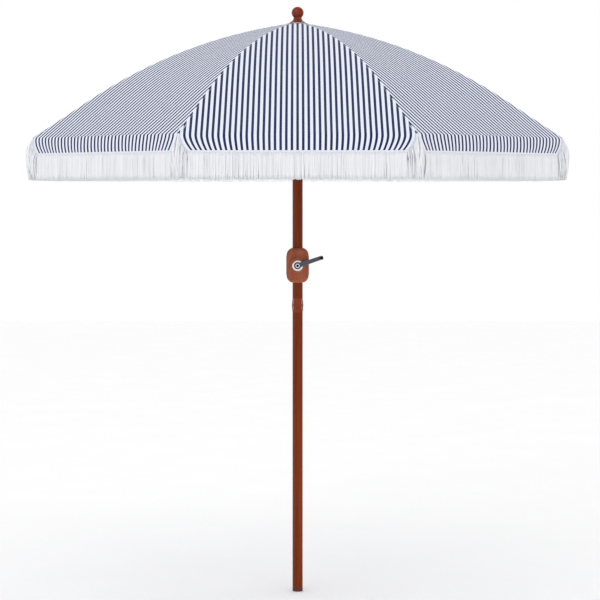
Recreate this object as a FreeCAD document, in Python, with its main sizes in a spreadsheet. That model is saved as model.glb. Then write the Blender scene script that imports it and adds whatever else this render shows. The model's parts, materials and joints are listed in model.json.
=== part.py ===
"""Patio umbrella: eight-rib crank umbrella with push-button tilt, in millimetres, +Z up.

The origin is the middle of the pole's foot. The canopy is open, the pole upright, and the flat front
panel faces -Y. Ribs, stretchers, panels and valance flaps are made lying over +X, and then turned about
the pole to their own place.
"""

import FreeCAD
import Part
import math
import os
import Sketcher
from types import SimpleNamespace

os.makedirs("parts", exist_ok=True)
doc = FreeCAD.newDocument("PatioUmbrella")
Vector = FreeCAD.Vector
PANELS = 8
TURN = 360 / PANELS

# Driving dimensions, in millimetres and degrees.
DIMENSIONS = {
    # pole
    "pole_radius": 19.0,
    "pole_wall": 1.2,
    "foot_height": 18.0,
    "foot_radius": 19.0,
    "lower_pole_top": 1036.0,
    "upper_pole_bottom": 1088.0,
    "upper_pole_top": 2110.0,
    # tilt knuckle
    "tilt_height": 1062.0,
    "tilt_pin_radius": 3.0,
    "tongue_half_width": 15.3,
    "tongue_radius": 20.3,
    "seat_gap": 0.5,
    "seat_drop": 10.5,
    "cheek_inside": 15.8,
    "cheek_outside": 21.0,
    "barrel_bend": 157.0,
    "cheek_radius": 22.0,
    "button_height": 1075.5,
    "button_radius": 6.0,
    # crank and its housing
    "crank_height": 1211.0,
    "housing_half_width": 41.0,
    "housing_half_height": 65.0,
    "housing_corner": 28.0,
    "housing_front": 38.0,
    "housing_back": 32.0,
    "housing_wall": 5.0,
    "housing_round": 13.0,
    "belt_half_height": 34.0,
    "belt_proud": 1.2,
    "boss_radius": 30.0,
    "boss_front": 46.0,
    "spindle_radius": 6.0,
    "spool_core": 8.6,
    "spool_flange": 13.0,
    "crank_reach": 93.0,
    "crank_angle": 18.7,
    # cord and pulley
    "cord_radius": 1.5,
    "pulley_height": 2054.0,
    "pulley_back": 11.5,
    "pulley_radius": 13.0,
    "cord_bend": 12.0,
    # rib: an arc from the hub, then a straight end
    "pivot_reach": 30.0,
    "rib_pivot_height": 2100.0,
    "rib_radius": 1939.0,
    "rib_start_angle": 9.0,
    "rib_end_angle": 33.5,
    "rib_straight": 234.0,
    "rib_half_depth": 6.0,
    "rib_width": 8.0,
    "rib_wall": 0.8,
    "joint_angle": 20.3,
    # stretcher
    "stretcher_length": 400.0,
    "stretcher_width": 14.0,
    "stretcher_half_depth": 5.3,
    "stretcher_wall": 1.0,
    "stretcher_fork": 110.0,
    "pin_radius": 1.5,
    # canopy
    "panel_gap": 7.0,
    "panel_thickness": 1.5,
    "panel_start_angle": 9.15,
    "panel_under_radius": 1720.1,
    "panel_top_radius": 1721.5,
    "panel_straight": 240.0,
    "valance_straight": 242.5,
    "valance_drop": 62.0,
    "valance_inset": 32.0,
    "fringe_drop": 153.0,
    "fringe_inset": 18.0,
    # top
    "ball_radius": 22.5,
    "ball_height": 2149.5,
    "finial_base": 30.0,
    "finial_neck": 15.0,
    "finial_seat": 2112.8,
}


class Size:
    """A value from the sheet, or a sum made from them: its number, and the expression that gives it."""

    def __init__(self, number, text):
        self.number = number
        self.text = text

    def __add__(self, other):
        other = as_size(other)
        return Size(self.number + other.number, f"({self.text} + {other.text})")

    def __sub__(self, other):
        other = as_size(other)
        return Size(self.number - other.number, f"({self.text} - {other.text})")

    def __mul__(self, other):
        other = as_size(other)
        return Size(self.number * other.number, f"({self.text} * {other.text})")

    def __rsub__(self, other):
        return as_size(other) - self

    def __neg__(self):
        return as_size(0) - self

    __radd__ = __add__
    __rmul__ = __mul__


def as_size(value):
    return value if isinstance(value, Size) else Size(float(value), repr(float(value)))


def sine(angle):
    angle = as_size(angle)
    return Size(math.sin(math.radians(angle.number)), f"sin({angle.text} * 1deg)")


def cosine(angle):
    angle = as_size(angle)
    return Size(math.cos(math.radians(angle.number)), f"cos({angle.text} * 1deg)")


def make_sheet():
    """Puts the driving dimensions in a spreadsheet and gives them back as sizes."""
    sheet = doc.addObject("Spreadsheet::Sheet", "Dims")
    for row, (name, value) in enumerate(DIMENSIONS.items(), start=1):
        sheet.set(f"A{row}", name)
        sheet.set(f"B{row}", str(value))
        sheet.setAlias(f"B{row}", name)
    doc.recompute()
    return SimpleNamespace(**{name: Size(value, f"Dims.{name}") for name, value in DIMENSIONS.items()})


dims = make_sheet()


# Tools for sketches and features.
def bind(target, path, value):
    value = as_size(value)
    if value.text == repr(value.number):
        return value.number
    target.setExpression(path, value.text)
    return value.number


def new_body(label):
    return doc.addObject("PartDesign::Body", label)


def new_sketch(body, plane, offset=0):
    """A sketch on one of the body's own origin planes, moved along that plane's normal by offset."""
    sketch = body.newObject("Sketcher::SketchObject", f"{body.Name}_sketch")
    origin_plane = [f for f in body.Origin.OriginFeatures if f.Role == f"{plane}_Plane"][0]
    sketch.AttachmentSupport = [(origin_plane, "")]
    sketch.MapMode = "FlatFace"
    sketch.AttachmentOffset = FreeCAD.Placement(Vector(0, 0, as_size(offset).number), FreeCAD.Rotation())
    bind(sketch, "AttachmentOffset.Base.z", offset)
    return sketch


def constrain(sketch, kind, *where_and_value):
    *where, value = where_and_value
    value = as_size(value)
    number = sketch.addConstraint(Sketcher.Constraint(kind, *where, value.number))
    bind(sketch, f"Constraints[{number}]", value)


def arc_between(start, end, radius, side):
    """The short arc from start to end, and which of its own ends lies at start. Side is 1 with its centre on
    the left of the way from start to end, and -1 on the right."""
    half = (end - start) * 0.5
    away = math.sqrt(max(0.0, radius**2 - half.Length**2))
    centre = start + half + Vector(-half.y, half.x, 0).normalize() * (side * away)
    circle = Part.Circle(centre, Vector(0, 0, 1), radius)
    first, last = (start, end) if side > 0 else (end, start)
    angles = [math.atan2(p.y - centre.y, p.x - centre.x) for p in (first, last)]
    return Part.ArcOfCircle(circle, *angles), 1 if side > 0 else 2


def draw(sketch, points, arcs=None):
    """A closed outline through points. arcs gives the (radius, side) of each edge that is an arc."""
    arcs = arcs or {}
    count, base = len(points), sketch.GeometryCount
    corners = [(as_size(x), as_size(y)) for x, y in points]
    places = [Vector(x.number, y.number, 0) for x, y in corners]
    starts = []
    for i in range(count):
        here, there = places[i], places[(i + 1) % count]
        curve, start = Part.LineSegment(here, there), 1
        if i in arcs:
            curve, start = arc_between(here, there, as_size(arcs[i][0]).number, arcs[i][1])
        sketch.addGeometry(curve, False)
        starts.append(start)
    for i in range(count):
        after = (i + 1) % count
        ends = (base + i, 3 - starts[i], base + after, starts[after])
        sketch.addConstraint(Sketcher.Constraint("Coincident", *ends))
    for i, (x, y) in enumerate(corners):
        constrain(sketch, "DistanceX", -1, 1, base + i, starts[i], x)
        constrain(sketch, "DistanceY", -1, 1, base + i, starts[i], y)
    for i, (radius, _) in arcs.items():
        constrain(sketch, "Radius", base + i, radius)
    return sketch


def draw_circle(sketch, x, y, radius):
    x, y, radius = as_size(x), as_size(y), as_size(radius)
    circle = Part.Circle(Vector(x.number, y.number, 0), Vector(0, 0, 1), radius.number)
    number = sketch.addGeometry(circle, False)
    constrain(sketch, "DistanceX", -1, 1, number, 3, x)
    constrain(sketch, "DistanceY", -1, 1, number, 3, y)
    constrain(sketch, "Radius", number, radius)
    return sketch


def rounded_rectangle(half_width, half_height, corner):
    """The points and quarter arcs of a rectangle about the sketch's origin with rounded corners."""
    across, up = half_width - corner, half_height - corner
    points = [
        (-across, -half_height),
        (across, -half_height),
        (half_width, -up),
        (half_width, up),
        (across, half_height),
        (-across, half_height),
        (-half_width, up),
        (-half_width, -up),
    ]
    return points, {edge: (corner, 1) for edge in (1, 3, 5, 7)}


def pad(body, sketch, length, symmetric=False, reverse=False):
    feature = body.newObject("PartDesign::Pad", f"{body.Name}_pad")
    feature.Profile = sketch
    feature.Length = as_size(length).number
    bind(feature, "Length", length)
    feature.SideType = "Symmetric" if symmetric else "One side"
    feature.Reversed = reverse
    doc.recompute()
    return feature


def pocket(body, sketch, length=None, symmetric=False, reverse=False):
    """A pocket of the given length, or right through where none is given. It has to take something away."""
    before = body.Shape.Volume
    feature = body.newObject("PartDesign::Pocket", f"{body.Name}_pocket")
    feature.Profile = sketch
    if length is None:
        feature.Type = "ThroughAll"
    else:
        feature.Length = as_size(length).number
        bind(feature, "Length", length)
    feature.SideType = "Symmetric" if symmetric else "One side"
    feature.Reversed = reverse
    doc.recompute()
    if not body.Shape.Volume < before - 1e-3:
        raise RuntimeError(f"a pocket of {body.Label} cuts nothing")
    return feature


def revolve(label, points, arcs=None):
    """A body turned about Z from its half outline in the XZ plane."""
    body = new_body(label)
    feature = body.newObject("PartDesign::Revolution", f"{body.Name}_turn")
    feature.Profile = draw(new_sketch(body, "XZ"), points, arcs)
    feature.ReferenceAxis = (feature.Profile[0], ["V_Axis"])
    feature.Angle = 360
    doc.recompute()
    return body


def ring(label, inside, outside, bottom, top):
    return revolve(label, [(inside, bottom), (outside, bottom), (outside, top), (inside, top)])


def fillet(body, radius, chosen):
    """Rounds the edges of the body's last feature whose middle point chosen() picks."""
    last = body.Tip
    names = []
    for number, edge in enumerate(last.Shape.Edges, start=1):
        middle = edge.valueAt((edge.FirstParameter + edge.LastParameter) / 2)
        if chosen(middle):
            names.append(f"Edge{number}")
    feature = body.newObject("PartDesign::Fillet", f"{body.Name}_fillet")
    feature.Base = (last, names)
    feature.Radius = as_size(radius).number
    bind(feature, "Radius", radius)
    doc.recompute()
    if not feature.isValid():
        raise RuntimeError(f"the fillet of {body.Label} fails")
    return feature


def around_pole(body, *features):
    """Repeats features eight times about Z."""
    pattern = body.newObject("PartDesign::PolarPattern", f"{body.Name}_pattern")
    pattern.Originals = list(features)
    z_axis = [f for f in body.Origin.OriginFeatures if f.Role == "Z_Axis"][0]
    pattern.Axis = (z_axis, [""])
    pattern.Angle = 360
    pattern.Occurrences = PANELS
    body.Tip = pattern
    doc.recompute()


def place(obj, x=0, y=0, z=0, axis=(0, 0, 1), angle=0):
    spot = [as_size(v) for v in (x, y, z)]
    turn = FreeCAD.Rotation(Vector(*axis), angle)
    obj.Placement = FreeCAD.Placement(Vector(*[v.number for v in spot]), turn)
    for name, value in zip("xyz", spot):
        bind(obj, f"Placement.Base.{name}", value)
    return obj


def cylinder(label, radius, length, x=0, y=0, z=0, along="z"):
    """A Part cylinder whose middle is at x, y, z."""
    obj = doc.addObject("Part::Cylinder", label)
    bind(obj, "Radius", radius)
    bind(obj, "Height", length)
    obj.Radius, obj.Height = as_size(radius).number, as_size(length).number
    half = as_size(length) * 0.5
    if along == "x":
        return place(obj, x - half, y, z, (0, 1, 0), 90)
    if along == "y":
        return place(obj, x, y + half, z, (1, 0, 0), 90)
    return place(obj, x, y, z - half)


def box(label, x_range, y_range, z_range):
    obj = doc.addObject("Part::Box", label)
    for name, (low, high) in zip(("Length", "Width", "Height"), (x_range, y_range, z_range)):
        span = as_size(high) - low
        setattr(obj, name, span.number)
        bind(obj, name, span)
    return place(obj, x_range[0], y_range[0], z_range[0])


def fuse(label, *shapes):
    obj = doc.addObject("Part::MultiFuse", label)
    obj.Shapes = list(shapes)
    return obj


def cut(label, base, *tools):
    obj = doc.addObject("Part::Cut", label)
    obj.Base = base
    obj.Tool = tools[0] if len(tools) == 1 else fuse(f"{label}_tools", *tools)
    return obj


def common(label, *shapes):
    obj = doc.addObject("Part::MultiCommon", label)
    obj.Shapes = list(shapes)
    return obj


def group(label, *shapes):
    """Several solids of one kind in one node."""
    obj = doc.addObject("Part::Compound", label)
    obj.Links = list(shapes)
    return obj


def coil(label, wire_radius, mean_radius, length, turns):
    """A helical spring along its own Z, from its start to length."""
    helix = Part.makeHelix(length / turns, length, mean_radius)
    section = Part.Wire(Part.makeCircle(wire_radius, Vector(mean_radius, 0, 0), Vector(0, 1, 0)))
    obj = doc.addObject("Part::Feature", label)
    obj.Shape = Part.Wire(helix.Edges).makePipeShell([section], True, True)
    return obj


# Places on the rib's middle line, in the plane of the rib: (reach from the pole's axis, height).
arc_centre = (
    dims.pivot_reach - dims.rib_radius * sine(dims.rib_start_angle),
    dims.rib_pivot_height - dims.rib_radius * cosine(dims.rib_start_angle),
)


def on_arc(angle, offset):
    """The point of the rib's arc where it slopes down by angle, moved out by offset."""
    radius = dims.rib_radius + offset
    return arc_centre[0] + radius * sine(angle), arc_centre[1] + radius * cosine(angle)


def on_end(along, offset):
    """The point of the rib's straight end at a distance along it, moved out by offset."""
    reach, height = on_arc(dims.rib_end_angle, offset)
    return reach + along * cosine(dims.rib_end_angle), height - along * sine(dims.rib_end_angle)


def squared(point):
    """A point of the rib's plane, taken to the middle plane of a flat panel between two ribs."""
    return point[0] * cosine(TURN / 2), point[1]


joint_reach, joint_height = on_arc(dims.joint_angle, 0)
stretcher_angle = math.degrees(
    math.acos((joint_reach.number - dims.pivot_reach.number) / dims.stretcher_length.number)
)
runner_height = joint_height.number - dims.stretcher_length.number * math.sin(math.radians(stretcher_angle))


def make_pole():
    inside = dims.pole_radius - dims.pole_wall
    lower = ring("lower_pole", inside, dims.pole_radius, dims.foot_height, dims.lower_pole_top)
    plug = inside - 0.1
    foot = revolve(
        "foot_cap",
        [
            (0, 0),
            (dims.foot_radius - 2, 0),
            (dims.foot_radius, 2),
            (dims.foot_radius, dims.foot_height),
            (plug, dims.foot_height),
            (plug, dims.foot_height + 25),
            (plug - 2, dims.foot_height + 25),
            (plug - 2, 4),
            (0, 4),
        ],
        {1: (2, 1)},
    )
    upper = ring("upper_pole", inside, dims.pole_radius, dims.upper_pole_bottom, dims.upper_pole_top)
    spool_way = draw_circle(new_sketch(upper, "XZ"), 0, dims.crank_height, dims.spool_flange + 0.5)
    pocket(upper, spool_way, symmetric=True)
    slot_low, slot_high = dims.pulley_height - 15, dims.pulley_height + 15
    slot = [(-4, slot_low), (4, slot_low), (4, slot_high), (-4, slot_high)]
    pocket(upper, draw(new_sketch(upper, "XZ"), slot))
    axle = draw_circle(new_sketch(upper, "YZ"), dims.pulley_back, dims.pulley_height, 2.52)
    pocket(upper, axle, symmetric=True)
    return [lower, foot, upper]


def make_tilt():
    """A barrel-shaped knuckle: the fork's two cheeks and curved seat hold the tongue of the tilt head."""
    height, top = dims.tilt_height, dims.lower_pole_top
    tube, inside, bulge = dims.pole_radius, dims.cheek_inside, dims.cheek_outside
    collar = dims.upper_pole_bottom
    plug_radius = tube - dims.pole_wall - 0.1
    barrel = revolve(
        "knuckle_barrel",
        [(0, top), (tube, top), (tube, collar - 2), (0, collar - 2)],
        {1: (dims.barrel_bend, 1)},
    )

    below = box("fork_below", (-30, 30), (-30, 30), (top, height))
    round_end = cylinder("fork_round", dims.cheek_radius, 60, 0, 0, height, "x")
    block = common("fork_block", barrel, fuse("fork_reach", below, round_end))
    plug = cylinder("fork_plug", plug_radius, 60, 0, 0, top - 30)
    slot = box("fork_slot", (-inside, inside), (-30, 30), (height - dims.seat_drop, collar))
    seat = cylinder("fork_seat", dims.tongue_radius + dims.seat_gap, inside * 2, 0, 0, height, "x")
    pin_way = cylinder("fork_pin_way", dims.tilt_pin_radius + 0.02, 60, 0, 0, height, "x")
    head_radius, head, recess = 5, 1.2, 0.8
    flat = bulge - recess
    recesses = [
        cylinder(f"pin_recess_{n}", head_radius + 0.05, 5, (flat + 2.5) * n, 0, height, "x") for n in (-1, 1)
    ]
    fork = cut("tilt_fork", fuse("fork_solid", plug, block), slot, seat, pin_way, *recesses)

    shank = cylinder("pin_shank", dims.tilt_pin_radius, flat * 2, 0, 0, height, "x")
    out = flat + head / 2
    heads = [cylinder(f"pin_head_{n}", head_radius, head, out * n, 0, height, "x") for n in (-1, 1)]
    pin = fuse("tilt_pin", shank, *heads)

    half = dims.tongue_half_width
    rounded = cylinder("tongue_round", dims.tongue_radius, half * 2, 0, 0, height, "x")
    straight = box(
        "tongue_straight", (-half, half), (-dims.tongue_radius, dims.tongue_radius), (height, collar - 2)
    )
    tongue = common("tongue", barrel, fuse("tongue_block", rounded, straight))
    collar_disc = cylinder("tongue_collar", dims.pole_radius, 3, 0, 0, collar - 1.5)
    upper_plug = cylinder("head_plug", plug_radius, 50, 0, 0, collar + 25)
    head_pin_way = cylinder("head_pin_way", dims.tilt_pin_radius + 0.05, 60, 0, 0, height, "x")
    button_way = cylinder(
        "button_way", dims.button_radius + 0.06, 30, 0, 13, dims.button_height, "y"
    )
    solid = fuse("head_solid", tongue, collar_disc, upper_plug)
    tilt_head = cut("tilt_head", solid, head_pin_way, button_way)

    button = revolve(
        "tilt_button",
        [(0, 0), (dims.button_radius, 0), (dims.button_radius, 12), (5, 15.5), (0, 16)],
        {2: (5, 1)},
    )
    place(button, 0, 8.5, dims.button_height, (1, 0, 0), -90)
    spring = coil("button_spring", 0.5, 4.2, 9, 4)
    place(spring, 0, -1.3, dims.button_height, (1, 0, 0), -90)
    return [fork, pin, tilt_head, button, spring]


def screw_places():
    return [(x, z) for x in (-26, 26) for z in (-49, 49)]


def housing_shell(label, depth, reverse, round_radius):
    """One half of the housing, open at the middle plane, with four screw posts inside."""
    body = new_body(label)
    outer = rounded_rectangle(dims.housing_half_width, dims.housing_half_height, dims.housing_corner)
    wall = dims.housing_wall
    pad(body, draw(new_sketch(body, "XZ"), *outer), depth, reverse=reverse)
    face = depth.number * (1 if reverse else -1)
    fillet(body, round_radius, lambda middle: abs(middle.y - face) < 0.01)
    side = 1 if reverse else -1
    corner = round_radius + dims.belt_proud
    across, deep = dims.housing_half_width + dims.belt_proud, depth + dims.belt_proud
    belt = [
        (-across, 0),
        (across, 0),
        (across, side * (deep - corner)),
        (across - corner, side * deep),
        (corner - across, side * deep),
        (-across, side * (deep - corner)),
    ]
    belt_sketch = draw(new_sketch(body, "XY"), belt, {2: (corner, side), 4: (corner, side)})
    pad(body, belt_sketch, dims.belt_half_height * 2, symmetric=True)
    inner = rounded_rectangle(
        dims.housing_half_width - wall, dims.housing_half_height - wall, dims.housing_corner - wall
    )
    cavity = draw(new_sketch(body, "XZ"), *inner)
    pocket(body, cavity, depth - wall - 3, reverse=not reverse)
    posts = new_sketch(body, "XZ")
    for x, z in screw_places():
        draw_circle(posts, x, z, 5)
    pad(body, posts, depth - wall, reverse=reverse)
    return body


def make_housing():
    front = housing_shell("crank_housing_front", dims.housing_front, False, dims.housing_round)
    boss = draw_circle(new_sketch(front, "XZ", dims.housing_front - 6), 0, 0, dims.boss_radius)
    pad(front, boss, dims.boss_front - dims.housing_front + 6)
    fillet(front, 3, lambda middle: abs(middle.y + dims.boss_front.number) < 0.01)
    pocket(front, draw_circle(new_sketch(front, "XZ"), 0, 0, 9.02), symmetric=True)
    holes = new_sketch(front, "XZ")
    for x, z in screw_places():
        draw_circle(holes, x, z, 1.7)
    pocket(front, holes, 18, reverse=True)

    back = housing_shell("crank_housing_back", dims.housing_back, True, dims.housing_round)
    bearing = draw_circle(new_sketch(back, "XZ", -18), 0, 0, 12)
    pad(back, bearing, dims.housing_back - 22, reverse=True)
    pocket(back, draw_circle(new_sketch(back, "XZ", -17), 0, 0, 8.02), 11)
    holes, heads = new_sketch(back, "XZ"), new_sketch(back, "XZ", -20)
    for x, z in screw_places():
        draw_circle(holes, x, z, 2)
        draw_circle(heads, x, z, 4)
    pocket(back, holes, symmetric=True)
    pocket(back, heads, 20)

    for body in (front, back):
        way = draw_circle(new_sketch(body, "XY"), 0, 0, dims.pole_radius + 0.15)
        pocket(body, way, symmetric=True)
        place(body, 0, 0, dims.crank_height)

    screws = []
    for n, (x, z) in enumerate(screw_places(), start=1):
        up = dims.crank_height + z
        shank = cylinder(f"shank_{n}", 1.6, 36, x, 2, up, "y")
        head = cylinder(f"head_{n}", 3.6, 2.5, x, 21.25, up, "y")
        screws.append(fuse(f"screw_{n}", shank, head))
    return [front, back, group("housing_screws", *screws)]


def facing_front(obj, out=0):
    """Turns an object made along Z so that it points to the front from the crank's axis."""
    return place(obj, 0, -as_size(out), dims.crank_height, (1, 0, 0), 90)


def make_crank():
    boss, spindle = dims.boss_front, dims.spindle_radius
    chrome = revolve(
        "crank_ring",
        [(12.6, boss), (20, boss), (20, boss + 1.5), (18, boss + 3), (13.4, boss + 3), (12.6, boss + 2.2)],
    )
    bushes = [
        ring("front_bush", spindle + 0.05, 9, boss - 12, boss),
        ring("back_bush", spindle + 0.05, 8, -27.5, -18),
    ]
    for part in (chrome, *bushes):
        facing_front(part)
    arm_back, arm_front = boss + 4, boss + 14
    shaft = revolve(
        "crank_spindle",
        [
            (0, -27),
            (spindle, -27),
            (spindle, arm_back),
            (2.55, arm_back),
            (2.55, arm_back - 18),
            (0, arm_back - 18),
        ],
    )
    flange, core = dims.spool_flange, dims.spool_core
    spool = revolve(
        "cord_spool",
        [
            (spindle + 0.02, -14),
            (flange, -14),
            (flange, -12),
            (core, -11.5),
            (core, 11.5),
            (flange, 12),
            (flange, 14),
            (spindle + 0.02, 14),
        ],
    )
    facing_front(shaft)
    facing_front(spool)

    arm = new_body("crank_arm")
    reach = dims.crank_reach
    bar = [(0, -8.5), (reach, -7), (reach, 7), (0, 8.5)]
    pad(arm, draw(new_sketch(arm, "XY", arm_back + 1), bar), 8)
    pad(arm, draw_circle(new_sketch(arm, "XY", arm_back), 0, 0, 12), arm_front - arm_back)
    pad(arm, draw_circle(new_sketch(arm, "XY", arm_back + 1), reach, 0, 7.2), 8)
    fillet(arm, 0.8, lambda middle: abs(middle.z - arm_front.number) < 0.01)
    pocket(arm, draw_circle(new_sketch(arm, "XY", arm_front), 0, 0, 2.6))
    pocket(arm, draw_circle(new_sketch(arm, "XY", arm_front), reach, 0, 3.02))

    grip_start, grip_end = arm_back + 9.4, arm_back + 45
    knob = revolve(
        "crank_knob",
        [
            (3.05, grip_start),
            (5.5, grip_start),
            (7.2, grip_start + 8),
            (7.2, grip_end - 6),
            (5.5, grip_end),
            (3.05, grip_end),
        ],
        {1: (20, 1), 3: (9, 1)},
    )
    washer = ring("crank_washer", 2.6, 7.5, arm_front, arm_front + 1)
    screw = revolve(
        "crank_screw",
        [
            (0, arm_back - 16),
            (2.5, arm_back - 16),
            (2.5, arm_front + 1),
            (4.2, arm_front + 1),
            (3.6, arm_front + 3.4),
            (0, arm_front + 3.8),
        ],
    )
    axle = revolve(
        "knob_axle",
        [
            (0, arm_back + 1),
            (3, arm_back + 1),
            (3, grip_end + 0.2),
            (4.6, grip_end + 0.2),
            (4, grip_end + 2),
            (0, grip_end + 2.4),
        ],
    )
    across = dims.crank_reach * cosine(dims.crank_angle)
    rise = dims.crank_reach * sine(dims.crank_angle)
    front_way = FreeCAD.Rotation(Vector(1, 0, 0), 90)
    lean = FreeCAD.Rotation(Vector(0, 1, 0), -dims.crank_angle.number)
    place(arm, 0, 0, dims.crank_height)
    arm.Placement.Rotation = lean.multiply(front_way)
    for part in (knob, axle):
        place(part, across, 0, dims.crank_height + rise, (1, 0, 0), 90)
    for part in (washer, screw):
        facing_front(part)
    fasteners = group("crank_fasteners", washer, screw, axle)
    brake = coil("brake_spring", 0.9, 8.4, 8, 4)
    facing_front(brake, 20.5)
    return [chrome, group("spindle_bushes", *bushes), shaft, spool, arm, knob, fasteners, brake]


def slotted_hub(label, profile, slot_half_width, pivot_height, hole_half_length):
    """A turned hub with eight slots for pivoted bars and a pin hole across each."""
    body = revolve(label, profile)
    slot = [
        (23.5, -slot_half_width),
        (45, -slot_half_width),
        (45, slot_half_width),
        (23.5, slot_half_width),
    ]
    slots = pocket(body, draw(new_sketch(body, "XY"), slot), symmetric=True)
    across = draw_circle(new_sketch(body, "XZ"), dims.pivot_reach, pivot_height, dims.pin_radius + 0.02)
    holes = pocket(body, across, hole_half_length * 2, symmetric=True)
    around_pole(body, slots, holes)
    return place(body, 0, 0, 0, (0, 0, 1), TURN / 2)


def pin_circle(label, height, half_length):
    """Eight pins, one across each slot."""
    pins = []
    for n in range(PANELS):
        angle = math.radians(TURN * (n + 0.5))
        pin = doc.addObject("Part::Cylinder", f"{label}_{n + 1}")
        bind(pin, "Radius", dims.pin_radius)
        pin.Height = half_length * 2
        radial = Vector(math.cos(angle), math.sin(angle), 0)
        side = Vector(-math.sin(angle), math.cos(angle), 0)
        middle = radial * dims.pivot_reach.number + Vector(0, 0, height)
        pin.Placement = FreeCAD.Placement(
            middle - side * half_length, FreeCAD.Rotation(Vector(0, 0, 1), side)
        )
        pins.append(pin)
    return group(label, *pins)


def make_top():
    pivot = dims.rib_pivot_height
    wall = dims.pole_radius + 0.1
    hub = slotted_hub(
        "top_hub",
        [(wall, 2070), (26, 2070), (26, 2082), (40, 2086), (40, pivot + 4), (wall, pivot + 4)],
        4.3,
        pivot,
        9,
    )
    pins = pin_circle("hub_pins", pivot.number, 8)
    back, up = dims.pulley_back, dims.pulley_height
    rim = dims.pulley_radius
    groove = dims.cord_bend - dims.cord_radius - 0.1
    pulley = revolve(
        "pulley",
        [
            (2.55, -3),
            (rim, -3),
            (rim, -2.3),
            (groove, -1.7),
            (groove, 1.7),
            (rim, 2.3),
            (rim, 3),
            (2.55, 3),
        ],
    )
    place(pulley, 0, back, up, (0, 1, 0), 90)
    axle = cylinder("pulley_axle", 2.5, 30, 0, back, up, "x")

    seat, ball = dims.finial_seat, dims.ball_height
    plug = dims.pole_radius - dims.pole_wall - 0.2
    neck = dims.finial_neck
    under_ball = ball - math.sqrt(dims.ball_radius.number**2 - neck.number**2)
    finial = revolve(
        "finial",
        [
            (0, seat - 22),
            (plug, seat - 22),
            (plug, seat),
            (dims.finial_base, seat),
            (dims.finial_base, seat + 1.5),
            (neck, seat + 16),
            (neck, under_ball),
            (dims.ball_radius, ball),
            (0, ball + dims.ball_radius),
        ],
        {4: (20, -1), 6: (dims.ball_radius, 1), 7: (dims.ball_radius, 1)},
    )
    cap = revolve(
        "crown_cap",
        [(19.3, 2111.5), (42, 2107.2), (42, 2108.2), (19.3, 2112.5)],
    )
    return [hub, group("hub_and_pulley_pins", pins, axle), pulley, finial, cap]


def make_runner():
    low = runner_height - 50
    runner = slotted_hub(
        "runner",
        [
            (dims.pole_radius + 0.5, low),
            (25, low),
            (25, runner_height - 15),
            (40, runner_height - 12),
            (40, runner_height + 12),
            (dims.pole_radius + 0.5, runner_height + 12),
        ],
        7.3,
        runner_height,
        10,
    )
    return [runner, pin_circle("runner_pins", runner_height, 9.3)]


def cord_solid(label, edges, start, along):
    section = Part.Wire(Part.makeCircle(dims.cord_radius.number, start, along))
    obj = doc.addObject("Part::Feature", label)
    obj.Shape = Part.Wire(edges).makePipeShell([section], True, False)
    return obj


def make_cord():
    """The lift cord: up inside the pole, over the pulley, and down behind the pole to the runner."""
    bend, back, up = dims.cord_bend.number, dims.pulley_back.number, dims.pulley_height.number
    inner_y, outer_y = back - bend, back + bend
    leaves = dims.spool_core.number + dims.cord_radius.number
    start = Vector(leaves, inner_y, dims.crank_height.number + 2)
    over = Vector(0, inner_y, up)
    arc = Part.Arc(over, Vector(0, back, up + bend), Vector(0, outer_y, up))
    edges = [Part.LineSegment(start, over).toShape(), arc.toShape()]
    inner = cord_solid("lift_cord_inner", edges, start, over - start)
    low, high = runner_height + 12, up - 0.1
    outer = cylinder("lift_cord_outer", dims.cord_radius, high - low, 0, outer_y, (high + low) / 2)
    return [inner, outer]


def make_rib(label, azimuth):
    body = new_body(label)
    half, radius = dims.rib_half_depth, dims.rib_radius
    first, last, length = dims.rib_start_angle, dims.rib_end_angle, dims.rib_straight
    back = (
        dims.pivot_reach - half * cosine(first),
        dims.rib_pivot_height + half * sine(first),
    )
    outline = [
        on_arc(first, half),
        on_arc(last, half),
        on_end(length, half),
        on_end(length + half, 0),
        on_end(length, -half),
        on_arc(last, -half),
        on_arc(first, -half),
        back,
    ]
    quarter = (half, -1)
    arcs = {0: (radius + half, -1), 2: quarter, 3: quarter, 5: (radius - half, 1), 6: quarter, 7: quarter}
    pad(body, draw(new_sketch(body, "XZ"), outline, arcs), dims.rib_width, symmetric=True)
    top, below = half - dims.rib_wall, -half - 1
    start = first + 0.4
    channel = [
        on_arc(start, top),
        on_arc(last, top),
        on_end(length - 8, top),
        on_end(length - 8, below),
        on_arc(last, below),
        on_arc(start, below),
    ]
    bends = {0: (radius + top, -1), 4: (radius + below, 1)}
    inside = dims.rib_width - dims.rib_wall * 2
    pocket(body, draw(new_sketch(body, "XZ"), channel, bends), inside, symmetric=True)
    collar = draw_circle(new_sketch(body, "XZ"), joint_reach, joint_height, 5)
    pad(body, collar, dims.rib_width + 3, symmetric=True)
    holes = new_sketch(body, "XZ")
    draw_circle(holes, joint_reach, joint_height, 2)
    draw_circle(holes, dims.pivot_reach, dims.rib_pivot_height, dims.pin_radius + 0.05)
    pocket(body, holes, symmetric=True)
    return place(body, 0, 0, 0, (0, 0, 1), azimuth)


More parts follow.
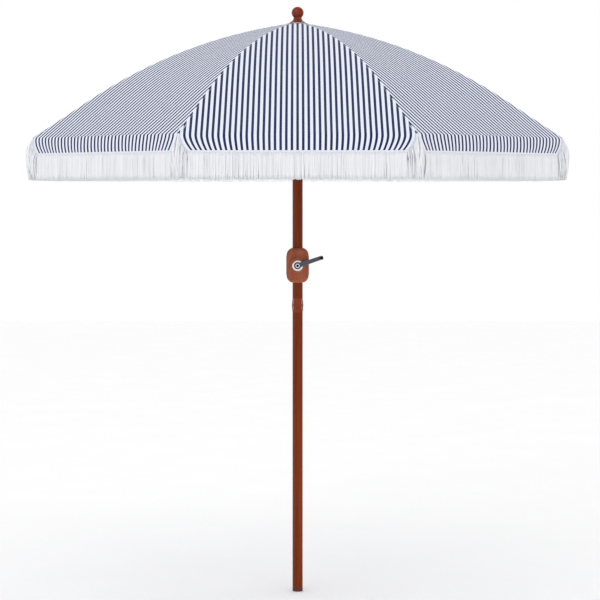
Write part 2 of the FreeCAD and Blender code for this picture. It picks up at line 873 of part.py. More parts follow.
def make_stretcher(label, azimuth):
    """A channel open to the top, with its web cut away at the far end so that it forks round the rib."""
    body = new_body(label)
    length, half, wall = dims.stretcher_length, dims.stretcher_half_depth, dims.stretcher_wall
    outline = [(0, -half), (length, -half), (length + half, 0), (length, half), (0, half), (-half, 0)]
    quarter = (half, 1)
    arcs = {1: quarter, 2: quarter, 4: quarter, 5: quarter}
    pad(body, draw(new_sketch(body, "XZ"), outline, arcs), dims.stretcher_width, symmetric=True)
    rivet = draw_circle(new_sketch(body, "XZ"), length, 0, 4)
    pad(body, rivet, dims.stretcher_width + 2.4, symmetric=True)
    fork = length - dims.stretcher_fork
    channel = [
        (9, wall - half),
        (fork, wall - half),
        (fork, -half - 1),
        (length + half + 1, -half - 1),
        (length + half + 1, half + 1),
        (9, half + 1),
    ]
    inside = dims.stretcher_width - wall * 2
    pocket(body, draw(new_sketch(body, "XZ"), channel), inside, symmetric=True)
    pocket(body, draw_circle(new_sketch(body, "XZ"), 0, 0, dims.pin_radius + 0.05), symmetric=True)
    rise = FreeCAD.Rotation(Vector(0, 1, 0), -stretcher_angle)
    turn = FreeCAD.Rotation(Vector(0, 0, 1), azimuth)
    foot = turn.multVec(Vector(dims.pivot_reach.number, 0, runner_height))
    body.Placement = FreeCAD.Placement(foot, turn.multiply(rise))
    return body


def make_panel(label, azimuth):
    """One gore of the canopy, flat across between its two ribs, with a rolled hem at the crown."""
    body = new_body(label)
    under, top = dims.panel_gap, dims.panel_gap + dims.panel_thickness
    start, last, length = dims.panel_start_angle, dims.rib_end_angle, dims.panel_straight
    outline = [
        squared(on_arc(start, top)),
        squared(on_arc(last, top)),
        squared(on_end(length, top)),
        squared(on_end(length, under)),
        squared(on_arc(last, under)),
        squared(on_arc(start, under)),
    ]
    arcs = {0: (dims.panel_top_radius, -1), 4: (dims.panel_under_radius, 1)}
    pad(body, draw(new_sketch(body, "XZ"), outline, arcs), 900, symmetric=True)
    slope = math.tan(math.radians(TURN / 2))
    seam_gap, far = 0.8, 1000
    trim = new_sketch(body, "XY")
    for side in (-1, 1):
        near = (-10, side * (-10 * slope - seam_gap))
        edge = (far, side * (far * slope - seam_gap))
        draw(trim, [near, edge, (far, side * 600), (-10, side * 600)])
    pocket(body, trim, symmetric=True)
    reach, height = squared(on_arc(start, (under + top) * 0.5))
    hem = draw_circle(new_sketch(body, "XZ"), reach, height, 1.2)
    pad(body, hem, 18, symmetric=True)
    return place(body, 0, 0, 0, (0, 0, 1), azimuth)


def make_valance(label, azimuth):
    """The flap that hangs from a panel's eave, with its fringe, on a corded hem."""
    body = new_body(label)
    middle = dims.panel_gap + dims.panel_thickness * 0.5
    reach, height = squared(on_end(dims.valance_straight, middle))
    half = reach * math.tan(math.radians(TURN / 2))
    flap = [
        (3 - half, height),
        (dims.valance_inset - half, height - dims.valance_drop),
        (dims.fringe_inset - half, height - dims.fringe_drop),
        (half - dims.fringe_inset, height - dims.fringe_drop),
        (half - dims.valance_inset, height - dims.valance_drop),
        (half - 3, height),
    ]
    plate = draw(new_sketch(body, "YZ", reach - dims.panel_thickness * 0.5), flap)
    pad(body, plate, dims.panel_thickness)
    cord = draw_circle(new_sketch(body, "XZ"), reach, height, 1.5)
    pad(body, cord, half * 2 - 8, symmetric=True)
    return place(body, 0, 0, 0, (0, 0, 1), azimuth)


def make_canopy():
    """Ribs and stretchers stand on the seams. Panels and flaps are between them, panel 1 at the front."""
    made = []
    for n in range(PANELS):
        panel_way = -90 + TURN * n
        rib_way = panel_way + TURN / 2
        made.append(make_rib(f"rib_{n + 1}", rib_way))
        made.append(make_stretcher(f"stretcher_{n + 1}", rib_way))
        made.append(make_panel(f"canopy_panel_{n + 1}", panel_way))
        made.append(make_valance(f"valance_{n + 1}", panel_way))
    return made


def check_and_export(nodes):
    doc.recompute()
    failed = [o.Label for o in doc.Objects if {"Invalid", "Error"} & set(o.State)]
    if failed:
        raise RuntimeError(f"failed objects: {failed}")
    for node in nodes:
        if node.Shape.isNull() or not node.Shape.isValid() or not node.Shape.Solids:
            raise RuntimeError(f"{node.Label} has no valid solid")
    for node in nodes:
        node.Shape.exportStep(f"parts/{node.Label}.step")


nodes = [
    *make_pole(),
    *make_tilt(),
    *make_housing(),
    *make_crank(),
    *make_top(),
    *make_runner(),
    *make_cord(),
    *make_canopy(),
]
check_and_export(nodes)
print(f"{len(nodes)} sub-parts; runner pivots at {runner_height:.3f} mm, stretchers at {stretcher_angle:.4f} deg")
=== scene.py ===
"""Looks of the patio umbrella, in metres, in the frame of its CAD model: striped cloth canopy with a fringed
valance on a wood-look pole. The front of the umbrella faces -Y."""

import bmesh
import bpy
import json
import math
import random
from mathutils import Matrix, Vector


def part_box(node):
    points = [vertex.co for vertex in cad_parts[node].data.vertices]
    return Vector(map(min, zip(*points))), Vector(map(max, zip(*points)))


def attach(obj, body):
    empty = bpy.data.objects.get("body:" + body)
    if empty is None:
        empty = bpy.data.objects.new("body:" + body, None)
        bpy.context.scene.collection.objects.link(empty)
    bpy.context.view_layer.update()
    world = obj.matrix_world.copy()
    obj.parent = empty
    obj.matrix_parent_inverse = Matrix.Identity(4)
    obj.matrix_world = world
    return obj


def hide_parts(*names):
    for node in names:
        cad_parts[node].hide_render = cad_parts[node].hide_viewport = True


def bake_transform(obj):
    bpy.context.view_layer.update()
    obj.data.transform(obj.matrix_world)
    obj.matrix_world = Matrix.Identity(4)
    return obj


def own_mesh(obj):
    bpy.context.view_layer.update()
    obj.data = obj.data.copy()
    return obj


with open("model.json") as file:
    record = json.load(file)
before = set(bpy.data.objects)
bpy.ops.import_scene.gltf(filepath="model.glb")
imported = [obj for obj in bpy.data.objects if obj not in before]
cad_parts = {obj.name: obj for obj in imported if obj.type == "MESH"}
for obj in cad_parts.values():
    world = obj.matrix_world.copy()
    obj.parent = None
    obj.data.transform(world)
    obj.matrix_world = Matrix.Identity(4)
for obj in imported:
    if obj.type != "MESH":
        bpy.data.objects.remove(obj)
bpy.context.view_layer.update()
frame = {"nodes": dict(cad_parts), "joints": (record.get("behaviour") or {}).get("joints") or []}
joints = {joint["name"]: joint for joint in frame["joints"]}

PANELS = 8
HALF_TURN = math.pi / PANELS
SPREAD = math.tan(HALF_TURN)  # half a panel's width for each metre of reach
CLOTH = 0.0008
STRIPE = 0.0182
STRIPE_SHARE = 0.46

# The roof, in a panel's middle plane: an arc that runs out into a straight slope down to the eave.
ROOF_RADIUS = 1.7208
ROOF_SLOPE = math.radians(35.62)
ROOF_SAG = 0.005
CROWN_ROWS = 7  # rows of the panel's mesh above the place where it gets wider than the middle strip
MIDDLE_BAND = 0.110  # half-width of the strip of cloth that folds least when the umbrella closes

# The valance: a flap with sloping ends, and the fringe along its hem and its ends.
EAVE_BEND = 0.010
FLAP_DROP = 0.062
FLAP_INSET = 0.032
FLAP_COLUMNS = 64
FLAP_CLOTH_START = 1.1  # how far down the cloth's pattern the flap begins
FRINGE_LENGTH = 0.090
FRINGE_SPACING = 0.0026
END_STRANDS = 26  # in each layer, on each sloping end
TAPE_WIDTH = 0.008

# The pockets that hold the ribs' straight ends.
POCKET_LENGTH = 0.045
RIB_END_SLOPE = math.radians(33.5)

# Distances from the crank's axis at which its metal changes colour.
SCREW_RADIUS = 0.0050
KNOB_REACH = 0.03


def reach_and_height(joint_name):
    x, y, z = joints[joint_name]["pos_m"]
    return math.hypot(x, y), z


CROWN = reach_and_height("panel_fold_1")
EAVE = reach_and_height("valance_fold_1")
EAVE_HALF = EAVE[0] * SPREAD


# Materials
class Shader:
    """A material with one Principled shader, and short calls to add nodes in front of it."""

    def __init__(self, name, **sockets):
        self.material = bpy.data.materials.new(name)
        self.material.use_nodes = True
        self.tree = self.material.node_tree
        self.surface = self.tree.nodes["Principled BSDF"]
        for socket, value in sockets.items():
            self.surface.inputs[socket.replace("_", " ")].default_value = value

    def add(self, kind, inputs=(), **settings):
        node = self.tree.nodes.new(f"ShaderNode{kind}")
        for name, value in settings.items():
            setattr(node, name, value)
        for socket, value in dict(inputs).items():
            if isinstance(value, bpy.types.NodeSocket):
                self.tree.links.new(value, node.inputs[socket])
            else:
                node.inputs[socket].default_value = value
        return node

    def math(self, operation, *values, clamp=False):
        return self.add("Math", enumerate(values), operation=operation, use_clamp=clamp).outputs[0]

    def noise(self, where, scale, detail=3.0, roughness=0.55):
        inputs = {"Vector": where, "Scale": scale, "Detail": detail, "Roughness": roughness}
        return self.add("TexNoise", inputs).outputs["Fac"]

    def stretched(self, where, scale):
        return self.add("Mapping", {"Vector": where, "Scale": scale}).outputs[0]

    def blend(self, amount, first, second):
        return self.add("MixRGB", {"Fac": amount, "Color1": first, "Color2": second}).outputs[0]

    def span(self, value, low, high, out_low=0.0, out_high=1.0):
        inputs = {"Value": value, "From Min": low, "From Max": high, "To Min": out_low, "To Max": out_high}
        return self.add("MapRange", inputs).outputs[0]

    def place(self):
        return self.add("TexCoord").outputs["Object"]

    def uv(self, layer):
        split = self.add("SeparateXYZ", {"Vector": self.add("UVMap", uv_map=layer).outputs[0]})
        return split.outputs[0], split.outputs[1]

    def colour(self, value):
        self.tree.links.new(value, self.surface.inputs["Base Color"])

    def roughness(self, value):
        self.tree.links.new(value, self.surface.inputs["Roughness"])

    def bump(self, height, strength, distance):
        inputs = {"Height": height, "Strength": strength, "Distance": distance}
        self.tree.links.new(self.add("Bump", inputs).outputs[0], self.surface.inputs["Normal"])


def rgb(red, green, blue):
    """A colour given as it looks on a screen, from 0 to 255."""
    linear = []
    for c in (red, green, blue):
        linear.append((c / 255 / 12.92) if c < 10 else ((c / 255 + 0.055) / 1.055) ** 2.4)
    return *linear, 1.0


def weave(shader, across, along, thread=0.0008):
    """The height of a plain weave whose threads run across and along the cloth."""
    waves = []
    for way in (across, along):
        turn = shader.math("MULTIPLY", way, 2 * math.pi / thread)
        waves.append(shader.math("SINE", turn))
    return shader.math("MULTIPLY", *waves)


def striped_cloth():
    """Woven polyester: navy stripes on bluish white, with a row of stitches beside each seam."""
    shader = Shader(
        "striped_cloth", Roughness=0.82, Specular_IOR_Level=0.15, Sheen_Weight=0.06, Sheen_Roughness=0.5
    )
    across, along = shader.uv("cloth")
    seam, _ = shader.uv("seam")
    wrapped = shader.math("FRACT", shader.math("ADD", shader.math("DIVIDE", across, STRIPE), 0.5))
    off_middle = shader.math("ABSOLUTE", shader.math("SUBTRACT", wrapped, 0.5))
    edge = STRIPE_SHARE / 2
    navy = shader.span(off_middle, edge + 0.012, edge - 0.012)
    where = shader.add("CombineXYZ", {0: across, 1: along}).outputs[0]
    slub = shader.noise(shader.stretched(where, (900, 60, 1)), 1.0, 2.0)
    cloud = shader.noise(where, 6.0, 3.0)
    white = shader.blend(slub, rgb(220, 225, 238), rgb(232, 236, 246))
    dark = shader.blend(slub, rgb(12, 24, 66), rgb(24, 38, 88))
    stripes = shader.blend(navy, white, dark)
    aged = shader.blend(shader.span(cloud, 0.3, 0.75, 0.0, 0.04), stripes, rgb(190, 196, 214))
    stitch = shader.math("LESS_THAN", shader.math("ABSOLUTE", shader.math("SUBTRACT", seam, 0.005)), 0.0005)
    gap = shader.math("LESS_THAN", shader.math("FRACT", shader.math("DIVIDE", along, 0.0036)), 0.65)
    thread = shader.math("MULTIPLY", stitch, gap)
    shader.colour(shader.blend(thread, aged, rgb(226, 229, 236)))
    raised = shader.math("MULTIPLY_ADD", thread, 2.0, weave(shader, across, along))
    folded = shader.span(seam, 0.009, 0.0098, 3.0, 0.0)
    shader.bump(shader.math("ADD", raised, folded), 0.25, 0.0003)
    return shader.material


def fringe_yarn():
    """Soft white yarn: each strand has a tint of its own, and is twisted."""
    shader = Shader(
        "fringe_yarn", Roughness=0.9, Specular_IOR_Level=0.2, Sheen_Weight=0.2, Sheen_Roughness=0.6
    )
    strand, along = shader.uv("yarn")
    tint = shader.blend(strand, rgb(226, 227, 231), rgb(238, 239, 242))
    root = shader.span(along, 0.0, 0.25, 0.35, 0.0)
    shader.colour(shader.blend(root, tint, rgb(232, 235, 246)))
    twist = shader.math("SINE", shader.math("MULTIPLY", along, 160.0))
    shader.bump(twist, 0.3, 0.0003)
    return shader.material


def white_tape():
    """The white header tape that the fringe hangs from."""
    shader = Shader("white_tape", Roughness=0.85, Sheen_Weight=0.3)
    across, along = shader.uv("cloth")
    where = shader.add("CombineXYZ", {0: across, 1: along}).outputs[0]
    mottle = shader.noise(shader.stretched(where, (500, 900, 1)), 1.0, 2.0)
    shader.colour(shader.blend(mottle, rgb(216, 219, 228), rgb(230, 232, 239)))
    shader.bump(weave(shader, across, along, 0.0012), 0.5, 0.0004)
    return shader.material


def wood_look(name, dark, light, grain=(55, 55, 1.3)):
    """Wood-grain film: streaks that run up the pole."""
    shader = Shader(name, Specular_IOR_Level=0.10)
    where = shader.place()
    broad = shader.noise(shader.stretched(where, grain), 1.0, 4.0)
    fine = shader.noise(shader.stretched(where, tuple(5 * g for g in grain)), 1.0, 3.0, 0.7)
    both = shader.math("MULTIPLY_ADD", fine, 0.35, shader.math("MULTIPLY", broad, 0.65))
    streaks = shader.span(both, 0.36, 0.64)
    shader.colour(shader.blend(streaks, dark, light))
    shader.roughness(shader.span(broad, 0.3, 0.7, 0.22, 0.32))
    shader.bump(fine, 0.12, 0.0003)
    return shader.material


def moulded(name, colour, roughness=0.35, coat=0.2):
    """Moulded plastic: a fine skin, with a little wear and dust in its tone."""
    shader = Shader(name, Specular_IOR_Level=0.3, Coat_Weight=coat, Coat_Roughness=0.2)
    where = shader.place()
    cloud = shader.noise(where, 35.0, 4.0)
    skin = shader.noise(where, 1600.0, 2.0)
    lighter = tuple(min(1.0, c * 1.35 + 0.004) for c in colour[:3]) + (1.0,)
    shader.colour(shader.blend(shader.span(cloud, 0.35, 0.75), colour, lighter))
    shader.roughness(shader.span(cloud, 0.2, 0.8, roughness - 0.05, roughness + 0.12))
    shader.bump(skin, 0.15, 0.0002)
    return shader.material


def metal(name, colour, roughness, brushed=(4, 4, 900)):
    """Bare or plated metal with faint brush marks."""
    shader = Shader(name, Metallic=1.0)
    where = shader.place()
    marks = shader.noise(shader.stretched(where, brushed), 1.0, 3.0)
    darker = tuple(c * 0.72 for c in colour[:3]) + (1.0,)
    shader.colour(shader.blend(shader.span(marks, 0.3, 0.7), darker, colour))
    shader.roughness(shader.span(marks, 0.3, 0.7, roughness * 0.8, roughness * 1.3))
    shader.bump(marks, 0.06, 0.0002)
    return shader.material


def crank_metal(name, bright, dark, axis_height, screw_radius, far):
    """Bright metal, with the screw in the middle of the crank and everything further out than far dark."""
    shader = Shader(name, Metallic=1.0)
    where = shader.place()
    split = shader.add("SeparateXYZ", {"Vector": where})
    rise = shader.math("SUBTRACT", split.outputs[2], axis_height)
    squares = [shader.math("POWER", way, 2.0) for way in (split.outputs[0], rise)]
    out = shader.math("SQRT", shader.math("ADD", *squares))
    in_middle = shader.math("LESS_THAN", out, screw_radius)
    at_knob = shader.math("GREATER_THAN", out, far)
    blackened = shader.math("MAXIMUM", in_middle, at_knob)
    marks = shader.noise(shader.stretched(where, (900, 4, 900)), 1.0, 3.0)
    shader.colour(shader.blend(blackened, bright, dark))
    shader.roughness(shader.span(marks, 0.3, 0.7, 0.18, 0.34))
    shader.bump(marks, 0.06, 0.0002)
    return shader.material


def braided_cord():
    """Dark braid: two sets of strands that wind opposite ways about the cord."""
    shader = Shader("braided_cord", Roughness=0.75, Sheen_Weight=0.3)
    across, along = shader.uv("cloth")
    turns = shader.math("MULTIPLY", across, 4.0)
    strands = []
    for winds_per_metre in (320.0, -320.0):
        turned = shader.math("MULTIPLY_ADD", along, winds_per_metre, turns)
        strands.append(shader.math("SINE", shader.math("MULTIPLY", turned, 6.2832)))
    braid = shader.math("MULTIPLY", *strands)
    shader.colour(shader.blend(shader.span(braid, -1, 1), rgb(34, 34, 38), rgb(72, 72, 78)))
    shader.bump(braid, 0.6, 0.0004)
    return shader.material


def plain_ground():
    """Near-white floor."""
    shader = Shader("ground", Roughness=0.9)
    grain = shader.noise(shader.place(), 3.0, 2.0)
    shader.colour(shader.blend(grain, rgb(250, 250, 250), rgb(254, 254, 254)))
    return shader.material


# Meshes
class Way:
    """The direction of one panel: from the pole outwards, and along its eave."""

    def __init__(self, number):
        angle = -math.pi / 2 + (number - 1) * 2 * HALF_TURN
        self.out = Vector((math.cos(angle), math.sin(angle), 0))
        self.along = Vector((-math.sin(angle), math.cos(angle), 0))

    def point(self, side, reach, height):
        return self.along * side + self.out * reach + Vector((0, 0, height))


def add_object(name, points, faces, uv_layers, material, sharp_over=40):
    """A smooth mesh that keeps edges sharper than sharp_over degrees. uv_layers has (u, v) for each point."""
    mesh = bpy.data.meshes.new(name)
    mesh.from_pydata(points, [], faces)
    for layer, values in uv_layers.items():
        flat = [number for loop in mesh.loops for number in values[loop.vertex_index]]
        mesh.uv_layers.new(name=layer).data.foreach_set("uv", flat)
    mesh.polygons.foreach_set("use_smooth", [True] * len(mesh.polygons))
    mesh.set_sharp_from_angle(angle=math.radians(sharp_over))
    mesh.materials.append(material)
    obj = bpy.data.objects.new(name, mesh)
    bpy.context.scene.collection.objects.link(obj)
    return obj


def shell(name, rows, thickness, material):
    """A closed thin sheet about a grid of (point, normal, cloth uv, seam distance). The first row may be one
    point repeated."""
    height, width = len(rows), len(rows[0])
    points, cloth, seam = [], [], []
    for side in (0.5, -0.5):
        for row in rows:
            for point, normal, uv, from_seam in row:
                points.append(point + normal * (side * thickness))
                cloth.append(uv)
                seam.append((from_seam, 0.0))
    under = height * width
    faces = []
    for i in range(height - 1):
        for j in range(width - 1):
            a, b = i * width + j, (i + 1) * width + j
            faces.append((a, b, b + 1, a + 1))
            faces.append((under + a, under + a + 1, under + b + 1, under + b))
    top = list(range(width))
    right = [i * width + width - 1 for i in range(height)]
    bottom = [(height - 1) * width + j for j in range(width)]
    left = [i * width for i in range(height)]
    for rim in (top, right, bottom[::-1], left[::-1]):
        for a, b in zip(rim, rim[1:]):
            faces.append((a, b, under + b, under + a))
    return add_object(name, points, faces, {"cloth": cloth, "seam": seam}, material)


def tidy(obj):
    """Joins points that lie together, and drops faces with no area."""
    work = bmesh.new()
    work.from_mesh(obj.data)
    bmesh.ops.remove_doubles(work, verts=work.verts, dist=1e-6)
    bmesh.ops.recalc_face_normals(work, faces=work.faces)
    work.to_mesh(obj.data)
    work.free()
    obj.data.set_sharp_from_angle(angle=math.radians(40))
    return obj


def tube(points, radii, sides, first_turn=0.0):
    """Points and faces of a closed tube along points, whose section is in the plane across Z or nearly so."""
    ring_points, faces = [], []
    for centre, radius in zip(points, radii):
        for k in range(sides):
            angle = first_turn + 2 * math.pi * k / sides
            ring_points.append(centre + Vector((math.cos(angle), math.sin(angle), 0)) * radius)
    for i in range(len(points) - 1):
        for k in range(sides):
            a, b = i * sides + k, i * sides + (k + 1) % sides
            faces.append((a, b, b + sides, a + sides))
    last = (len(points) - 1) * sides
    faces.append(tuple(range(sides))[::-1])
    faces.append(tuple(last + k for k in range(sides)))
    return ring_points, faces


# Canopy
def roof_line():
    """Places down a panel's middle: (reach, height, outward normal in that plane, way along the cloth), and
    the number of the row where the panel gets wider than the middle band."""
    normal = Vector((math.sin(ROOF_SLOPE), math.cos(ROOF_SLOPE)))
    down = Vector((math.cos(ROOF_SLOPE), -math.sin(ROOF_SLOPE)))
    crown, eave = Vector(CROWN), Vector(EAVE)
    away = crown - eave + normal * ROOF_RADIUS
    along = away.dot(down)
    straight = -(along + math.sqrt(along**2 - away.length_squared + ROOF_RADIUS**2))
    centre = eave - normal * ROOF_RADIUS - down * straight
    first = math.asin((crown.x - centre.x) / ROOF_RADIUS)
    widening = math.asin((MIDDLE_BAND / SPREAD - centre.x) / ROOF_RADIUS)
    steps = [first + (widening - first) * i / CROWN_ROWS for i in range(CROWN_ROWS)]
    steps += [widening + (ROOF_SLOPE - widening) * i / 22 for i in range(23)]
    line = []
    for angle in steps:
        outward = Vector((math.sin(angle), math.cos(angle)))
        line.append((centre + outward * ROOF_RADIUS, outward, (angle - first) * ROOF_RADIUS))
    arc_end, _, arc_length = line[-1]
    for i in range(1, 9):
        line.append((arc_end + down * (straight * i / 8), normal, arc_length + straight * i / 8))
    return line, CROWN_ROWS


def roof_point(way, spot, outward, run, side, half):
    """One point of a panel's cloth. It sags a little between its two seams."""
    share = 1 - (side / half) ** 2 if half > 0 else 0
    depth = ROOF_SAG * share**2 * math.sin(math.pi * min(1.0, run / 1.05)) ** 0.5
    place = spot - outward * depth
    normal = way.out * outward.x + Vector((0, 0, outward.y))
    return way.point(side, place.x, place.y), normal, (side, run), half - abs(side)


def make_panel(number, material):
    """One gore in three strips: a middle one and two sides."""
    way = Way(number)
    line, widening = roof_line()
    body = f"canopy_panel_{number}"
    middle, sides = [], {-1: [], 1: []}
    for i, (spot, outward, run) in enumerate(line):
        half = spot.x * SPREAD
        reach = min(half, MIDDLE_BAND)
        middle.append(
            [roof_point(way, spot, outward, run, reach * (k / 8 - 1), half) for k in range(17)]
        )
        if i >= widening:
            for sign, rows in sides.items():
                stations = [MIDDLE_BAND + (half - MIDDLE_BAND) * k / 16 for k in range(17)]
                rows.append([roof_point(way, spot, outward, run, sign * s, half) for s in stations])
    pieces = [tidy(shell(f"canopy_{number}_middle", middle, CLOTH, material))]
    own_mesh(pieces[0])
    for sign, name in ((-1, "left"), (1, "right")):
        piece = tidy(shell(f"canopy_{number}_{name}", sides[sign], CLOTH, material))
        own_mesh(piece)
        pieces.append(piece)
    for piece in pieces:
        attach(piece, body)
    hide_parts(f"canopy_panel_{number}")


def flap_point(share, drop):
    """(side, reach, height, outward part of the normal, upward part) of a flap, share -1 to 1 along the eave
    and drop down the cloth. The cloth turns over the eave, and the flap's ends slope in."""
    bend_length = EAVE_BEND * (math.pi / 2 - ROOF_SLOPE)
    angle = min(math.pi / 2, ROOF_SLOPE + drop / EAVE_BEND)
    reach = EAVE[0] + EAVE_BEND * (math.sin(angle) - math.sin(ROOF_SLOPE))
    height = EAVE[1] - EAVE_BEND * (math.cos(ROOF_SLOPE) - math.cos(angle))
    below = max(0.0, drop - bend_length)
    fall = below / (FLAP_DROP - bend_length)
    wave = 0.0015 * fall * math.sin(share * 17) + 0.002 * math.sin(math.pi * fall)
    inset = FLAP_INSET * fall**1.6 * abs(share) ** 2.5
    side = share * EAVE_HALF - math.copysign(inset, share)
    return side, reach + wave, height - below, math.sin(angle), math.cos(angle)


def make_flap(number, material):
    way = Way(number)
    rows = []
    for i in range(17):
        drop = FLAP_DROP * (i / 16) ** 1.2
        row = []
        for k in range(FLAP_COLUMNS + 1):
            share = 2 * k / FLAP_COLUMNS - 1
            side, reach, height, outward, upward = flap_point(share, drop)
            normal = way.out * outward + Vector((0, 0, upward))
            uv = (share * EAVE_HALF, FLAP_CLOTH_START + drop)
            from_seam = min(FLAP_DROP - drop + 0.0005, EAVE_HALF * (1 - abs(share)) + 0.0005)
            row.append((way.point(side, reach, height), normal, uv, from_seam))
        rows.append(row)
    return shell(f"valance_{number}_flap", rows, CLOTH, material)


def make_tape(number, material):
    """The fringe's header: a corded white tape over the flap's hem and ends."""
    way = Way(number)
    end_rows = 12
    path = [(-1, FLAP_DROP * (0.06 + 0.94 * i / end_rows)) for i in range(end_rows)]
    path += [(2 * k / FLAP_COLUMNS - 1, FLAP_DROP) for k in range(FLAP_COLUMNS + 1)]
    path += [(1, FLAP_DROP * (1 - 0.94 * i / end_rows)) for i in range(1, end_rows + 1)]
    rows = []
    for lift in (0, 1, 2, 3, 4):
        row = []
        for i, (share, drop) in enumerate(path):
            side, reach, height, outward, upward = flap_point(share, drop)
            normal = way.out * outward + Vector((0, 0, upward))
            on_end = min(i, len(path) - 1 - i) < end_rows
            step = TAPE_WIDTH * (lift / 4 - 0.35)
            sideways = -math.copysign(step, share) if on_end else 0.0
            rise = 0.0 if on_end else step
            swell = 0.0009 * math.sin(math.pi * lift / 4)
            point = way.point(side + sideways, reach + swell + 0.0009, height + rise)
            row.append((point, normal, (i * 0.006, lift * TAPE_WIDTH / 4), 1.0))
        rows.append(row)
    return shell(f"valance_{number}_tape", rows[::-1], 0.0012, material)


def strand_points(start, way, sign, length, bulge, spread, sway):
    """A strand of yarn that falls from start. bulge pushes its middle outwards, and spread moves its end
    along the eave."""
    steps = 5
    points = []
    for i in range(steps + 1):
        part = i / steps
        out = bulge * math.sin(math.pi * part**0.75) + 0.002 * part
        shift = sign * spread * math.sin(math.pi / 2 * part) + sway * part**1.5
        points.append(start + way.out * out + way.along * shift + Vector((0, 0, -length * part)))
    return points


def make_fringe(number, material):
    """Strands in two layers along the hem, and puffed-out bunches along the two sloping ends."""
    way = Way(number)
    dice = random.Random(number)
    strands = []
    hem = 2 * (EAVE_HALF - FLAP_INSET)
    count = round(hem / FRINGE_SPACING)
    for layer in (0, 1):
        for i in range(count + 1):
            share = max(-1.0, min(1.0, (2 * (i + 0.5 * layer) / count - 1)))
            side, reach, height, _, _ = flap_point(share, FLAP_DROP)
            start = way.point(side, reach + 0.0015 - 0.004 * layer, height)
            length = FRINGE_LENGTH - dice.uniform(0, 0.003)
            bulge = dice.uniform(-0.001, 0.002) - 0.001 * layer
            strands.append(strand_points(start, way, 0, length, bulge, 0, dice.gauss(0, 0.0010)))
    bottom = flap_point(1, FLAP_DROP)[2] - FRINGE_LENGTH
    for sign in (-1, 1):
        for layer in range(3):
            for i in range(END_STRANDS):
                drop = FLAP_DROP * (i + 0.33 * layer) / END_STRANDS
                side, reach, height, _, _ = flap_point(sign, drop)
                start = way.point(side, reach + 0.001 - 0.003 * layer, height)
                length = height - bottom - dice.uniform(0, 0.005)
                bulge = (0.020 - 0.007 * layer) * (1 - 0.75 * drop / FLAP_DROP) + dice.uniform(-0.002, 0.003)
                spread = (0.010 + 0.028 * drop / FLAP_DROP) * dice.uniform(-0.1, 1.0)
                strands.append(strand_points(start, way, sign, length, bulge, spread, dice.gauss(0, 0.001)))
    points, faces, yarn = [], [], []
    for line in strands:
        thick = dice.uniform(0.0017, 0.0023)
        radii = [thick * share for share in (0.8, 1.0, 1.1, 1.15, 1.1, 0.75)]
        ring_points, ring_faces = tube(line, radii, 4, dice.uniform(0, 1.5))
        base, tint = len(points), dice.random()
        points += ring_points
        faces += [tuple(base + n for n in face) for face in ring_faces]
        yarn += [(tint, k // 4 / 5) for k in range(len(ring_points))]
    return add_object(f"valance_{number}_fringe", points, faces, {"yarn": yarn}, material, 100)


def make_valance(number, cloth, tape_cloth, yarn):
    flap = make_flap(number, cloth)
    tape = make_tape(number, tape_cloth)
    fringe = make_fringe(number, yarn)
    for piece in (flap, tape, fringe):
        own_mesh(piece)
        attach(piece, f"valance_{number}")
    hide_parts(f"valance_{number}")


def make_crown_cap(material):
    """The small round of cloth over the meeting of the panels."""
    low, high = (Vector(corner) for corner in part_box("crown_cap"))
    outer, inner = high.x, 0.0195
    bottom, top = low.z + 0.0006, high.z - 0.0004
    rows = []
    for i in range(9):
        share = i / 8
        radius = inner + (outer - inner) * share
        row = []
        for k in range(65):
            angle = 2 * math.pi * k / 64
            outward = Vector((math.cos(angle), math.sin(angle), 0))
            ripple = 0.0004 * share * math.sin(8 * angle)
            point = outward * radius + Vector((0, 0, top + (bottom - top) * share + ripple))
            row.append((point, Vector((0, 0, 1)), (radius * angle, radius), outer - radius))
        rows.append(row)
    cap = tidy(shell("crown_cap_cloth", rows, CLOTH, material))
    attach(cap, "mast")
    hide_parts("crown_cap")


def make_lift_cord(material):
    """The outer run of the lift cord, from the pulley to the runner."""
    low, high = (Vector(corner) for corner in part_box("lift_cord_outer"))
    middle, radius = (low + high) / 2, (high.x - low.x) / 2
    rings = 33
    line = [Vector((middle.x, middle.y, high.z + (low.z - high.z) * i / (rings - 1))) for i in range(rings)]
    points, faces = tube(line, [radius] * rings, 10)
    cloth = [(n % 10 / 10, n // 10 * (high.z - low.z) / (rings - 1)) for n in range(len(points))]
    cord = add_object("lift_cord_run", points, faces, {"cloth": cloth}, material)
    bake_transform(cord)
    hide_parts("lift_cord_outer")


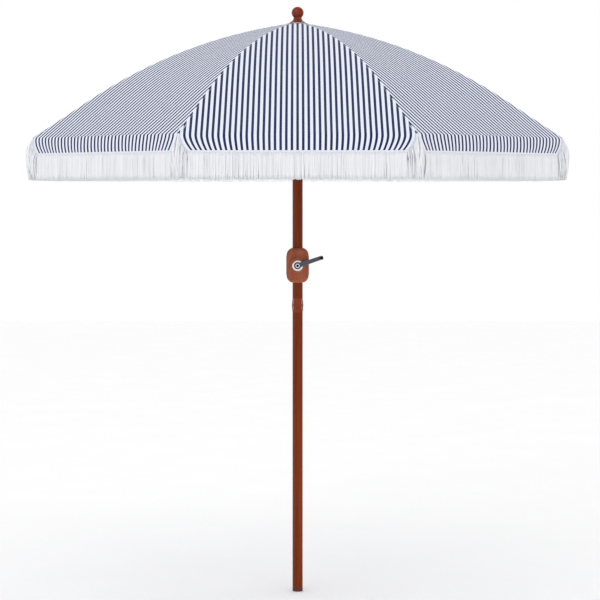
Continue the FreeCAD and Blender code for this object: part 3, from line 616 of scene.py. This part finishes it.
def make_rib_pockets(material):
    """A white pocket of cloth under each corner of the canopy that the rib's tip sits in."""
    for number in range(1, PANELS + 1):
        corners = [Vector(corner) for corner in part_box(f"rib_{number}")]
        angle = -math.pi / 2 + HALF_TURN * (2 * number - 1)
        out = Vector((math.cos(angle), math.sin(angle), 0))
        across = Vector((-math.sin(angle), math.cos(angle), 0))
        tip = Vector((0, 0, corners[0].z + 0.006)) + out * (EAVE[0] / math.cos(HALF_TURN) - 0.004)
        back = out * -math.cos(RIB_END_SLOPE) + Vector((0, 0, math.sin(RIB_END_SLOPE)))
        up = out * math.sin(RIB_END_SLOPE) + Vector((0, 0, math.cos(RIB_END_SLOPE)))
        rows = []
        for i in range(9):
            run = POCKET_LENGTH * i / 8
            row = []
            for k in range(17):
                turn = math.pi * (k / 16) + math.pi
                wide, deep = 0.0065 + 0.002 * i / 8, 0.0085
                direction = across * math.cos(turn) + up * math.sin(turn)
                centre = tip + back * run + up * 0.004
                point = centre + across * (wide * math.cos(turn)) + up * (deep * math.sin(turn))
                row.append((point, direction, (0.012 * k / 16, run), min(run, POCKET_LENGTH - run) + 0.003))
            rows.append(row)
        pocket = shell(f"rib_pocket_{number}", rows, 0.0008, material)
        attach(pocket, f"rib_{number}")


def paint(material, *names):
    """Gives CAD nodes a material, with smooth shading that keeps their hard edges."""
    for name in names:
        obj = frame["nodes"][name]
        for slot in obj.material_slots:
            slot.material = material
        obj.data.polygons.foreach_set("use_smooth", [True] * len(obj.data.polygons))
        obj.data.set_sharp_from_angle(angle=math.radians(32))


def paint_hardware():
    pole = wood_look("wood_look_pole", rgb(100, 36, 8), rgb(132, 56, 20))
    paint(pole, "lower_pole", "upper_pole")
    shell_plastic = wood_look("housing_plastic", rgb(146, 78, 54), rgb(168, 96, 70), (30, 30, 4))
    paint(shell_plastic, "crank_housing_front", "crank_housing_back")
    knuckle_plastic = wood_look("knuckle_plastic", rgb(122, 52, 28), rgb(144, 68, 42), (30, 30, 4))
    paint(knuckle_plastic, "tilt_head", "tilt_fork")
    paint(wood_look("finial_wood", rgb(106, 40, 22), rgb(142, 64, 44), (90, 90, 8)), "finial")
    dark = moulded("dark_plastic", rgb(44, 30, 27))
    paint(dark, "tilt_button", "spindle_bushes", "cord_spool", "top_hub", "pulley", "runner")
    paint(moulded("knob_plastic", rgb(30, 30, 34), 0.3, 0.2), "crank_knob")
    paint(moulded("foot_plastic", rgb(84, 36, 20), 0.5, 0.0), "foot_cap")
    steel = metal("zinc_steel", rgb(170, 172, 178), 0.3)
    paint(steel, "tilt_pin", "button_spring", "housing_screws", "crank_spindle", "brake_spring")
    paint(steel, "hub_and_pulley_pins", "runner_pins")
    crank_height = joints["crank_turn"]["pos_m"][2]
    two_tone = crank_metal(
        "crank_metal", rgb(226, 229, 234), rgb(24, 24, 28), crank_height, SCREW_RADIUS, KNOB_REACH
    )
    paint(two_tone, "crank_fasteners")
    paint(metal("chrome", rgb(232, 233, 236), 0.10), "crank_ring")
    paint(metal("gunmetal", rgb(88, 92, 104), 0.28, (900, 4, 900)), "crank_arm")
    ribs = moulded("rib_paint", rgb(92, 44, 32), 0.38, 0.3)
    for number in range(1, PANELS + 1):
        paint(ribs, f"rib_{number}", f"stretcher_{number}")


# Stage
def make_stage():
    """The floor, a white surround and soft lamps. The one under the canopy lights the back of the fringe."""
    size = 14.0
    corners = [(-size, -size, 0), (size, -size, 0), (size, size, 0), (-size, size, 0)]
    ground = add_object("ground", corners, [(0, 1, 2, 3)], {}, plain_ground())
    world = bpy.data.worlds.new("studio")
    world.use_nodes = True
    world.node_tree.nodes["Background"].inputs["Color"].default_value = (1, 1, 1, 1)
    world.node_tree.nodes["Background"].inputs["Strength"].default_value = 1.0
    bpy.context.scene.world = world
    for name, place, aim, size, power in (
        ("key", (-3.4, -5.0, 4.6), (0, 0, 1.5), 3.0, 50),
        ("fill", (4.2, -4.4, 2.6), (0, 0, 1.5), 3.0, 20),
        ("under_canopy", (0, 0.4, 0.6), (0, 0.93, 1.56), 0.5, 6),
    ):
        light = bpy.data.lights.new(name, "AREA")
        light.size, light.energy = size, power
        lamp = bpy.data.objects.new(name, light)
        lamp.location = place
        lamp.rotation_euler = (Vector(aim) - Vector(place)).to_track_quat("-Z", "Y").to_euler()
        lamp.visible_camera = False
        bpy.context.scene.collection.objects.link(lamp)


def make_camera():
    """Level with the lower part of the mast, a long way in front."""
    data = bpy.data.cameras.new("camera")
    data.sensor_width = 36
    data.lens = 110.5
    data.shift_x, data.shift_y = 0.004, -0.1854
    camera = bpy.data.objects.new("camera", data)
    camera.location = (0, -6.85, 1.495)
    camera.rotation_euler = (math.pi / 2, 0, 0)
    bpy.context.scene.collection.objects.link(camera)
    bpy.context.scene.camera = camera


make_camera()
make_stage()
paint_hardware()
cloth = striped_cloth()
tape_cloth = white_tape()
yarn = fringe_yarn()
cord_braid = braided_cord()
paint(cord_braid, "lift_cord_inner")
for number in range(1, PANELS + 1):
    make_panel(number, cloth)
    make_valance(number, cloth, tape_cloth, yarn)
make_rib_pockets(tape_cloth)
make_crown_cap(tape_cloth)
make_lift_cord(cord_braid)
bpy.context.scene.view_settings.view_transform = "Standard"
